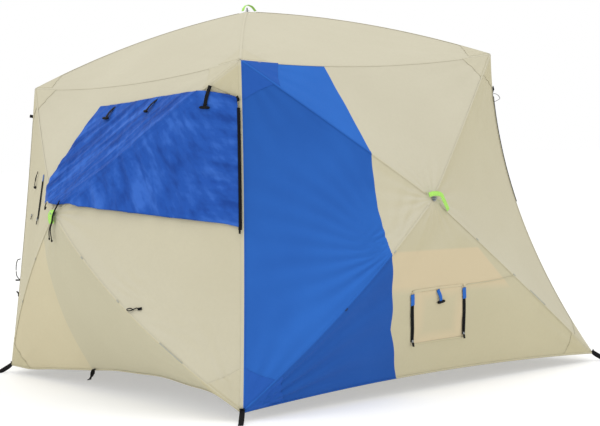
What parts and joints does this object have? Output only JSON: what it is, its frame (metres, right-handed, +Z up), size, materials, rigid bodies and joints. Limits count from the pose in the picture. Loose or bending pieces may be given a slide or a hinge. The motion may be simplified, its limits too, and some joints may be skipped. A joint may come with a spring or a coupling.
{
  "type": "ice fishing shelter",
  "caption": "Square pop-up hub shelter for ice fishing: four fabric walls and a roof held out by hubs and poles, with window, vent and door",
  "frame": {"origin": "centre of the base on the ground, under the middle of the overall box", "axes": "+Z up; the front wall with the small vent faces -Y; the left wall with the large window cover faces -X"},
  "size_m": [2.8839, 2.8856, 2.1109],
  "materials": {
    "back_gore_eave": "matt coated Oxford cloth",
    "back_gore_hem": "matt coated Oxford cloth",
    "back_gore_left": "matt coated Oxford cloth",
    "back_gore_right": "matt coated Oxford cloth",
    "back_hub": "moulded hub with a grey eye bolt",
    "back_pole_lower_left": "glass fibre rod with a metal ferrule",
    "back_pole_lower_right": "glass fibre rod with a metal ferrule",
    "back_pole_upper_left": "glass fibre rod with a metal ferrule",
    "back_pole_upper_right": "glass fibre rod with a metal ferrule",
    "back_pull_strap": "woven webbing",
    "corner_tape_back_left": "woven webbing",
    "corner_tape_back_right": "woven webbing",
    "corner_tape_front_left": "woven webbing",
    "corner_tape_front_right": "woven webbing",
    "door_flap": "matt coated Oxford cloth",
    "door_zip_slider": "black zip slider",
    "front_gore_eave": "matt coated Oxford cloth",
    "front_gore_hem": "matt coated Oxford cloth",
    "front_gore_left": "matt coated Oxford cloth",
    "front_gore_right": "matt coated Oxford cloth",
    "front_hub": "moulded hub with a grey eye bolt",
    "front_pole_lower_left": "glass fibre rod with a metal ferrule",
    "front_pole_lower_right": "glass fibre rod with a metal ferrule",
    "front_pole_upper_left": "glass fibre rod with a metal ferrule",
    "front_pole_upper_right": "glass fibre rod with a metal ferrule",
    "front_pull_strap": "woven webbing",
    "left_gore_eave": "matt coated Oxford cloth",
    "left_gore_hem": "matt coated Oxford cloth",
    "left_gore_left": "matt coated Oxford cloth",
    "left_gore_right": "matt coated Oxford cloth",
    "left_hub": "moulded hub with a grey eye bolt",
    "left_pole_lower_left": "glass fibre rod with a metal ferrule",
    "left_pole_lower_right": "glass fibre rod with a metal ferrule",
    "left_pole_upper_left": "glass fibre rod with a metal ferrule",
    "left_pole_upper_right": "glass fibre rod with a metal ferrule",
    "left_pull_strap": "woven webbing",
    "right_gore_eave": "matt coated Oxford cloth",
    "right_gore_hem": "matt coated Oxford cloth",
    "right_gore_left": "matt coated Oxford cloth",
    "right_gore_right": "matt coated Oxford cloth",
    "right_hub": "moulded hub with a grey eye bolt",
    "right_pole_lower_left": "glass fibre rod with a metal ferrule",
    "right_pole_lower_right": "glass fibre rod with a metal ferrule",
    "right_pole_upper_left": "glass fibre rod with a metal ferrule",
    "right_pole_upper_right": "glass fibre rod with a metal ferrule",
    "right_pull_strap": "woven webbing",
    "roof_gore_back": "matt coated Oxford cloth",
    "roof_gore_front": "matt coated Oxford cloth",
    "roof_gore_left": "matt coated Oxford cloth",
    "roof_gore_right": "matt coated Oxford cloth",
    "roof_hub": "moulded hub with a grey eye bolt",
    "roof_pole_back_left": "glass fibre rod with a metal ferrule",
    "roof_pole_back_right": "glass fibre rod with a metal ferrule",
    "roof_pole_front_left": "glass fibre rod with a metal ferrule",
    "roof_pole_front_right": "glass fibre rod with a metal ferrule",
    "roof_pull_strap": "woven webbing",
    "vent_flap": "matt coated Oxford cloth",
    "window_cover_eave": "satin nylon",
    "window_cover_side": "satin nylon",
    "window_zip_slider": "black zip slider"
  },
  "bodies": {
    "shelter_base": {"corner_tape_front_left": "corner_tape_front_left", "corner_tape_front_right": "corner_tape_front_right", "corner_tape_back_right": "corner_tape_back_right", "corner_tape_back_left": "corner_tape_back_left"},
    "front_hub_body": {"front_hub": "front_hub", "front_pull_strap": "front_pull_strap"},
    "front_pole_lower_left_body": {"front_pole_lower_left": "front_pole_lower_left"},
    "front_pole_lower_right_body": {"front_pole_lower_right": "front_pole_lower_right"},
    "front_pole_upper_right_body": {"front_pole_upper_right": "front_pole_upper_right"},
    "front_pole_upper_left_body": {"front_pole_upper_left": "front_pole_upper_left"},
    "front_gore_hem_body": {"front_gore_hem": "front_gore_hem"},
    "front_gore_right_body": {"front_gore_right": "front_gore_right"},
    "front_gore_eave_body": {"front_gore_eave": "front_gore_eave"},
    "front_gore_left_body": {"front_gore_left": "front_gore_left"},
    "right_hub_body": {"right_hub": "right_hub", "right_pull_strap": "right_pull_strap"},
    "right_pole_lower_left_body": {"right_pole_lower_left": "right_pole_lower_left"},
    "right_pole_lower_right_body": {"right_pole_lower_right": "right_pole_lower_right"},
    "right_pole_upper_right_body": {"right_pole_upper_right": "right_pole_upper_right"},
    "right_pole_upper_left_body": {"right_pole_upper_left": "right_pole_upper_left"},
    "right_gore_hem_body": {"right_gore_hem": "right_gore_hem"},
    "right_gore_right_body": {"right_gore_right": "right_gore_right"},
    "right_gore_eave_body": {"right_gore_eave": "right_gore_eave"},
    "right_gore_left_body": {"right_gore_left": "right_gore_left"},
    "back_hub_body": {"back_hub": "back_hub", "back_pull_strap": "back_pull_strap"},
    "back_pole_lower_left_body": {"back_pole_lower_left": "back_pole_lower_left"},
    "back_pole_lower_right_body": {"back_pole_lower_right": "back_pole_lower_right"},
    "back_pole_upper_right_body": {"back_pole_upper_right": "back_pole_upper_right"},
    "back_pole_upper_left_body": {"back_pole_upper_left": "back_pole_upper_left"},
    "back_gore_hem_body": {"back_gore_hem": "back_gore_hem"},
    "back_gore_right_body": {"back_gore_right": "back_gore_right"},
    "back_gore_eave_body": {"back_gore_eave": "back_gore_eave"},
    "back_gore_left_body": {"back_gore_left": "back_gore_left"},
    "left_hub_body": {"left_hub": "left_hub", "left_pull_strap": "left_pull_strap"},
    "left_pole_lower_left_body": {"left_pole_lower_left": "left_pole_lower_left"},
    "left_pole_lower_right_body": {"left_pole_lower_right": "left_pole_lower_right"},
    "left_pole_upper_right_body": {"left_pole_upper_right": "left_pole_upper_right"},
    "left_pole_upper_left_body": {"left_pole_upper_left": "left_pole_upper_left"},
    "left_gore_hem_body": {"left_gore_hem": "left_gore_hem"},
    "left_gore_right_body": {"left_gore_right": "left_gore_right", "window_cover_side": "window_cover_side"},
    "left_gore_eave_body": {"left_gore_eave": "left_gore_eave", "window_cover_eave": "window_cover_eave"},
    "left_gore_left_body": {"left_gore_left": "left_gore_left"},
    "roof_hub_body": {"roof_hub": "roof_hub", "roof_pull_strap": "roof_pull_strap"},
    "roof_pole_front_left_body": {"roof_pole_front_left": "roof_pole_front_left"},
    "roof_pole_front_right_body": {"roof_pole_front_right": "roof_pole_front_right"},
    "roof_pole_back_right_body": {"roof_pole_back_right": "roof_pole_back_right"},
    "roof_pole_back_left_body": {"roof_pole_back_left": "roof_pole_back_left"},
    "roof_gore_front_body": {"roof_gore_front": "roof_gore_front"},
    "roof_gore_right_body": {"roof_gore_right": "roof_gore_right"},
    "roof_gore_back_body": {"roof_gore_back": "roof_gore_back"},
    "roof_gore_left_body": {"roof_gore_left": "roof_gore_left"},
    "vent_flap_body": {"vent_flap": "vent_flap"},
    "door_flap_body": {"door_flap": "door_flap"},
    "window_zip_slider_body": {"window_zip_slider": "window_zip_slider"},
    "door_zip_slider_body": {"door_zip_slider": "door_zip_slider"}
  },
  "joints": [
    {"name": "front_hub_pop", "type": "slide", "parent": "shelter_base", "child": "front_hub_body", "axis": [-0.0168, -0.9835, 0.1803], "range_m": [-0.626, 0]},
    {"name": "front_pole_lower_left_pin", "type": "hinge", "parent": "front_hub_body", "child": "front_pole_lower_left_body", "pos_m": [-0.05181, -1.38161, 0.98268], "axis": [-0.6234, 0.1513, 0.7671], "range_deg": [0, 24.67]},
    {"name": "front_pole_lower_right_pin", "type": "hinge", "parent": "front_hub_body", "child": "front_pole_lower_right_body", "pos_m": [-0.00375, -1.38213, 0.98436], "axis": [-0.5715, -0.1385, -0.8089], "range_deg": [0, 22.18]},
    {"name": "front_pole_upper_right_pin", "type": "hinge", "parent": "front_hub_body", "child": "front_pole_upper_right_body", "pos_m": [-0.00588, -1.37542, 1.02075], "axis": [0.662, -0.1461, -0.7351], "range_deg": [0, 28.1]},
    {"name": "front_pole_upper_left_pin", "type": "hinge", "parent": "front_hub_body", "child": "front_pole_upper_left_body", "pos_m": [-0.05056, -1.37462, 1.02092], "axis": [0.6724, 0.1223, 0.73], "range_deg": [0, 30.16]},
    {"name": "front_gore_hem_fold", "type": "hinge", "parent": "shelter_base", "child": "front_gore_hem_body", "pos_m": [-1.168, -1.227, 0.045], "axis": [0.9992, -0.0395, 0], "range_deg": [-37.57, 0], "deforming": ["front_gore_hem"]},
    {"name": "front_gore_right_fold", "type": "hinge", "parent": "shelter_base", "child": "front_gore_right_body", "pos_m": [1.312, -1.325, 0.045], "axis": [-0.2055, 0.2093, 0.956], "range_deg": [-31.37, 0], "deforming": ["front_gore_right"]},
    {"name": "front_gore_eave_fold", "type": "hinge", "parent": "shelter_base", "child": "front_gore_eave_body", "pos_m": [0.938, -0.944, 1.785], "axis": [-0.9996, -0.0173, -0.0233], "range_deg": [-41.63, 0], "deforming": ["front_gore_eave"]},
    {"name": "front_gore_left_fold", "type": "hinge", "parent": "shelter_base", "child": "front_gore_left_body", "pos_m": [-0.906, -0.976, 1.742], "axis": [-0.151, -0.1446, -0.9779], "range_deg": [-35.02, 0], "deforming": ["front_gore_left"]},
    {"name": "right_hub_pop", "type": "slide", "parent": "shelter_base", "child": "right_hub_body", "axis": [0.984, 0.0273, 0.176], "range_m": [-0.6645, 0]},
    {"name": "right_pole_lower_left_pin", "type": "hinge", "parent": "right_hub_body", "child": "right_pole_lower_left_body", "pos_m": [1.3823, -0.02561, 0.9765], "axis": [-0.1288, -0.5732, 0.8093], "range_deg": [0, 23.81]},
    {"name": "right_pole_lower_right_pin", "type": "hinge", "parent": "right_hub_body", "child": "right_pole_lower_right_body", "pos_m": [1.38113, 0.02295, 0.97548], "axis": [0.157, -0.5998, -0.7846], "range_deg": [0, 25.52]},
    {"name": "right_pole_upper_right_pin", "type": "hinge", "parent": "right_hub_body", "child": "right_pole_upper_right_body", "pos_m": [1.37456, 0.02175, 1.01241], "axis": [0.1163, 0.65, -0.751], "range_deg": [0, 30.35]},
    {"name": "right_pole_upper_left_pin", "type": "hinge", "parent": "right_hub_body", "child": "right_pole_upper_left_body", "pos_m": [1.37563, -0.02314, 1.01338], "axis": [-0.1479, 0.6756, 0.7223], "range_deg": [0, 30.1]},
    {"name": "right_gore_hem_fold", "type": "hinge", "parent": "shelter_base", "child": "right_gore_hem_body", "pos_m": [1.312, -1.325, 0.045], "axis": [-0.0484, 0.9988, 0], "range_deg": [-40.14, 0], "deforming": ["right_gore_hem"]},
    {"name": "right_gore_right_fold", "type": "hinge", "parent": "shelter_base", "child": "right_gore_right_body", "pos_m": [1.19, 1.19, 0.045], "axis": [-0.1412, -0.1412, 0.9799], "range_deg": [-34.84, 0], "deforming": ["right_gore_right"]},
    {"name": "right_gore_eave_fold", "type": "hinge", "parent": "shelter_base", "child": "right_gore_eave_body", "pos_m": [0.945, 0.945, 1.745], "axis": [-0.0037, -0.9998, 0.0212], "range_deg": [-43.36, 0], "deforming": ["right_gore_eave"]},
    {"name": "right_gore_left_fold", "type": "hinge", "parent": "shelter_base", "child": "right_gore_left_body", "pos_m": [0.938, -0.944, 1.785], "axis": [0.2055, -0.2093, -0.956], "range_deg": [-33.83, 0], "deforming": ["right_gore_left"]},
    {"name": "back_hub_pop", "type": "slide", "parent": "shelter_base", "child": "back_hub_body", "axis": [-0.0136, 0.9918, 0.1271], "range_m": [-0.747, 0]},
    {"name": "back_pole_lower_left_pin", "type": "hinge", "parent": "back_hub_body", "child": "back_pole_lower_left_body", "pos_m": [0.02423, 1.38097, 0.97698], "axis": [0.6125, -0.0922, 0.7851], "range_deg": [0, 28.56]},
    {"name": "back_pole_lower_right_pin", "type": "hinge", "parent": "back_hub_body", "child": "back_pole_lower_right_body", "pos_m": [-0.02247, 1.38045, 0.97601], "axis": [0.6424, 0.1061, -0.759], "range_deg": [0, 30.15]},
    {"name": "back_pole_upper_right_pin", "type": "hinge", "parent": "back_hub_body", "child": "back_pole_upper_right_body", "pos_m": [-0.02313, 1.37565, 1.01343], "axis": [-0.615, 0.0919, -0.7831], "range_deg": [0, 35.22]},
    {"name": "back_pole_upper_left_pin", "type": "hinge", "parent": "back_hub_body", "child": "back_pole_upper_left_body", "pos_m": [0.02337, 1.37615, 1.01448], "axis": [-0.6476, -0.1056, 0.7547], "range_deg": [0, 34.53]},
    {"name": "back_gore_hem_fold", "type": "hinge", "parent": "shelter_base", "child": "back_gore_hem_body", "pos_m": [1.19, 1.19, 0.045], "axis": [-0.9997, -0.0242, 0], "range_deg": [-44.46, 0], "deforming": ["back_gore_hem"]},
    {"name": "back_gore_right_fold", "type": "hinge", "parent": "shelter_base", "child": "back_gore_right_body", "pos_m": [-1.082, 1.135, 0.045], "axis": [0.0813, -0.1114, 0.9904], "range_deg": [-40.66, 0], "deforming": ["back_gore_right"]},
    {"name": "back_gore_eave_fold", "type": "hinge", "parent": "shelter_base", "child": "back_gore_eave_body", "pos_m": [-0.947, 0.95, 1.689], "axis": [0.9996, -0.0026, 0.0296], "range_deg": [-51.77, 0], "deforming": ["back_gore_eave"]},
    {"name": "back_gore_left_fold", "type": "hinge", "parent": "shelter_base", "child": "back_gore_left_body", "pos_m": [0.945, 0.945, 1.745], "axis": [0.1412, 0.1412, -0.9799], "range_deg": [-39.44, 0], "deforming": ["back_gore_left"]},
    {"name": "left_hub_pop", "type": "slide", "parent": "shelter_base", "child": "left_hub_body", "axis": [-0.993, 0.0119, 0.1178], "range_m": [-0.8022, 0]},
    {"name": "left_pole_lower_left_pin", "type": "hinge", "parent": "left_hub_body", "child": "left_pole_lower_left_body", "pos_m": [-1.38019, 0.03201, 0.96893], "axis": [0.0995, 0.623, 0.7759], "range_deg": [0, 31.68]},
    {"name": "left_pole_lower_right_pin", "type": "hinge", "parent": "left_hub_body", "child": "left_pole_lower_right_body", "pos_m": [-1.38065, -0.01557, 0.96984], "axis": [-0.0877, 0.5947, -0.7991], "range_deg": [0, 29.92]},
    {"name": "left_pole_upper_right_pin", "type": "hinge", "parent": "left_hub_body", "child": "left_pole_upper_right_body", "pos_m": [-1.3763, -0.01463, 1.00647], "axis": [-0.0985, -0.6346, -0.7665], "range_deg": [0, 35.95]},
    {"name": "left_pole_upper_left_pin", "type": "hinge", "parent": "left_hub_body", "child": "left_pole_upper_left_body", "pos_m": [-1.3758, 0.03208, 1.00597], "axis": [0.0851, -0.6201, 0.7799], "range_deg": [0, 37.68]},
    {"name": "left_gore_hem_fold", "type": "hinge", "parent": "shelter_base", "child": "left_gore_hem_body", "pos_m": [-1.082, 1.135, 0.045], "axis": [-0.0364, -0.9993, 0], "range_deg": [-47.8, 0], "deforming": ["left_gore_hem"]},
    {"name": "left_gore_right_fold", "type": "hinge", "parent": "shelter_base", "child": "left_gore_right_body", "pos_m": [-1.168, -1.227, 0.045], "axis": [0.151, 0.1446, 0.9779], "range_deg": [-40.56, 0], "deforming": ["left_gore_right", "window_cover_side"]},
    {"name": "left_gore_eave_fold", "type": "hinge", "parent": "shelter_base", "child": "left_gore_eave_body", "pos_m": [-0.906, -0.976, 1.742], "axis": [-0.0213, 0.9994, -0.0275], "range_deg": [-54.74, 0], "deforming": ["left_gore_eave", "window_cover_eave"]},
    {"name": "left_gore_left_fold", "type": "hinge", "parent": "shelter_base", "child": "left_gore_left_body", "pos_m": [-0.947, 0.95, 1.689], "axis": [-0.0813, 0.1114, -0.9904], "range_deg": [-42.84, 0], "deforming": ["left_gore_left"]},
    {"name": "roof_hub_pop", "type": "slide", "parent": "shelter_base", "child": "roof_hub_body", "axis": [-0.0267, 0.0241, 0.9994], "range_m": [-0.6944, 0]},
    {"name": "roof_pole_front_left_pin", "type": "hinge", "parent": "roof_hub_body", "child": "roof_pole_front_left_body", "pos_m": [-0.06853, 0.01632, 2.04705], "axis": [-0.7583, 0.651, -0.0359], "range_deg": [0, 29.99]},
    {"name": "roof_pole_front_right_pin", "type": "hinge", "parent": "roof_hub_body", "child": "roof_pole_front_right_body", "pos_m": [-0.02775, 0.01792, 2.0481], "axis": [-0.7059, -0.7083, -0.0017], "range_deg": [0, 28.83]},
    {"name": "roof_pole_back_right_pin", "type": "hinge", "parent": "roof_hub_body", "child": "roof_pole_back_right_body", "pos_m": [-0.02698, 0.05947, 2.04712], "axis": [0.6791, -0.7332, 0.0358], "range_deg": [0, 29.64]},
    {"name": "roof_pole_back_left_pin", "type": "hinge", "parent": "roof_hub_body", "child": "roof_pole_back_left_body", "pos_m": [-0.07005, 0.06042, 2.04595], "axis": [0.7117, 0.7025, 0.002], "range_deg": [0, 30.83]},
    {"name": "roof_gore_front_fold", "type": "hinge", "parent": "shelter_base", "child": "roof_gore_front_body", "pos_m": [-0.906, -0.976, 1.742], "axis": [0.9996, 0.0173, 0.0233], "range_deg": [-38.6, 0], "deforming": ["roof_gore_front"]},
    {"name": "roof_gore_right_fold", "type": "hinge", "parent": "shelter_base", "child": "roof_gore_right_body", "pos_m": [0.938, -0.944, 1.785], "axis": [0.0037, 0.9998, -0.0212], "range_deg": [-38.97, 0], "deforming": ["roof_gore_right"]},
    {"name": "roof_gore_back_fold", "type": "hinge", "parent": "shelter_base", "child": "roof_gore_back_body", "pos_m": [0.945, 0.945, 1.745], "axis": [-0.9996, 0.0026, -0.0296], "range_deg": [-41.56, 0], "deforming": ["roof_gore_back"]},
    {"name": "roof_gore_left_fold", "type": "hinge", "parent": "shelter_base", "child": "roof_gore_left_body", "pos_m": [-0.947, 0.95, 1.689], "axis": [0.0213, -0.9994, 0.0275], "range_deg": [-42.81, 0], "deforming": ["roof_gore_left"]},
    {"name": "vent_flap_hinge", "type": "hinge", "parent": "front_gore_hem_body", "child": "vent_flap_body", "pos_m": [-0.18695, -1.4102, 0.53944], "axis": [-0.9996, -0.0269, 0], "range_deg": [0, 150]},
    {"name": "door_flap_hinge", "type": "hinge", "parent": "back_gore_hem_body", "child": "door_flap_body", "pos_m": [0.35939, 1.16586, 0.10203], "axis": [-0.0055, 0.4037, 0.9149], "range_deg": [0, 100]},
    {"name": "window_zip_slide", "type": "slide", "parent": "left_gore_right_body", "child": "window_zip_slider_body", "axis": [0.1048, 0.0954, 0.9899], "range_m": [0, 0.5]},
    {"name": "door_zip_slide", "type": "slide", "parent": "back_gore_right_body", "child": "door_zip_slider_body", "axis": [0.083, -0.1131, 0.9901], "range_m": [0, 0.4]}
  ],
  "couplings": [
    {"joint": "front_pole_lower_left_pin", "follows": "front_hub_pop", "rad_per_m": -0.68638},
    {"joint": "front_pole_lower_right_pin", "follows": "front_hub_pop", "rad_per_m": -0.61714},
    {"joint": "front_pole_upper_right_pin", "follows": "front_hub_pop", "rad_per_m": -0.78215},
    {"joint": "front_pole_upper_left_pin", "follows": "front_hub_pop", "rad_per_m": -0.83946},
    {"joint": "front_gore_hem_fold", "follows": "front_hub_pop", "rad_per_m": 1.0461},
    {"joint": "front_gore_right_fold", "follows": "front_hub_pop", "rad_per_m": 0.87331},
    {"joint": "front_gore_eave_fold", "follows": "front_hub_pop", "rad_per_m": 1.1593},
    {"joint": "front_gore_left_fold", "follows": "front_hub_pop", "rad_per_m": 0.97487},
    {"joint": "right_pole_lower_left_pin", "follows": "right_hub_pop", "rad_per_m": -0.62416},
    {"joint": "right_pole_lower_right_pin", "follows": "right_hub_pop", "rad_per_m": -0.66888},
    {"joint": "right_pole_upper_right_pin", "follows": "right_hub_pop", "rad_per_m": -0.79577},
    {"joint": "right_pole_upper_left_pin", "follows": "right_hub_pop", "rad_per_m": -0.78919},
    {"joint": "right_gore_hem_fold", "follows": "right_hub_pop", "rad_per_m": 1.0529},
    {"joint": "right_gore_right_fold", "follows": "right_hub_pop", "rad_per_m": 0.91375},
    {"joint": "right_gore_eave_fold", "follows": "right_hub_pop", "rad_per_m": 1.1374},
    {"joint": "right_gore_left_fold", "follows": "right_hub_pop", "rad_per_m": 0.88717},
    {"joint": "back_pole_lower_left_pin", "follows": "back_hub_pop", "rad_per_m": -0.66606},
    {"joint": "back_pole_lower_right_pin", "follows": "back_hub_pop", "rad_per_m": -0.70331},
    {"joint": "back_pole_upper_right_pin", "follows": "back_hub_pop", "rad_per_m": -0.82179},
    {"joint": "back_pole_upper_left_pin", "follows": "back_hub_pop", "rad_per_m": -0.80563},
    {"joint": "back_gore_hem_fold", "follows": "back_hub_pop", "rad_per_m": 1.0377},
    {"joint": "back_gore_right_fold", "follows": "back_hub_pop", "rad_per_m": 0.94877},
    {"joint": "back_gore_eave_fold", "follows": "back_hub_pop", "rad_per_m": 1.2083},
    {"joint": "back_gore_left_fold", "follows": "back_hub_pop", "rad_per_m": 0.9203},
    {"joint": "left_pole_lower_left_pin", "follows": "left_hub_pop", "rad_per_m": -0.68808},
    {"joint": "left_pole_lower_right_pin", "follows": "left_hub_pop", "rad_per_m": -0.64985},
    {"joint": "left_pole_upper_right_pin", "follows": "left_hub_pop", "rad_per_m": -0.78107},
    {"joint": "left_pole_upper_left_pin", "follows": "left_hub_pop", "rad_per_m": -0.81864},
    {"joint": "left_gore_hem_fold", "follows": "left_hub_pop", "rad_per_m": 1.0389},
    {"joint": "left_gore_right_fold", "follows": "left_hub_pop", "rad_per_m": 0.8813},
    {"joint": "left_gore_eave_fold", "follows": "left_hub_pop", "rad_per_m": 1.1899},
    {"joint": "left_gore_left_fold", "follows": "left_hub_pop", "rad_per_m": 0.93088},
    {"joint": "roof_pole_front_left_pin", "follows": "roof_hub_pop", "rad_per_m": -0.75243},
    {"joint": "roof_pole_front_right_pin", "follows": "roof_hub_pop", "rad_per_m": -0.72346},
    {"joint": "roof_pole_back_right_pin", "follows": "roof_hub_pop", "rad_per_m": -0.74383},
    {"joint": "roof_pole_back_left_pin", "follows": "roof_hub_pop", "rad_per_m": -0.77355},
    {"joint": "roof_gore_front_fold", "follows": "roof_hub_pop", "rad_per_m": 0.96899},
    {"joint": "roof_gore_right_fold", "follows": "roof_hub_pop", "rad_per_m": 0.97816},
    {"joint": "roof_gore_back_fold", "follows": "roof_hub_pop", "rad_per_m": 1.0433},
    {"joint": "roof_gore_left_fold", "follows": "roof_hub_pop", "rad_per_m": 1.0748}
  ]
}
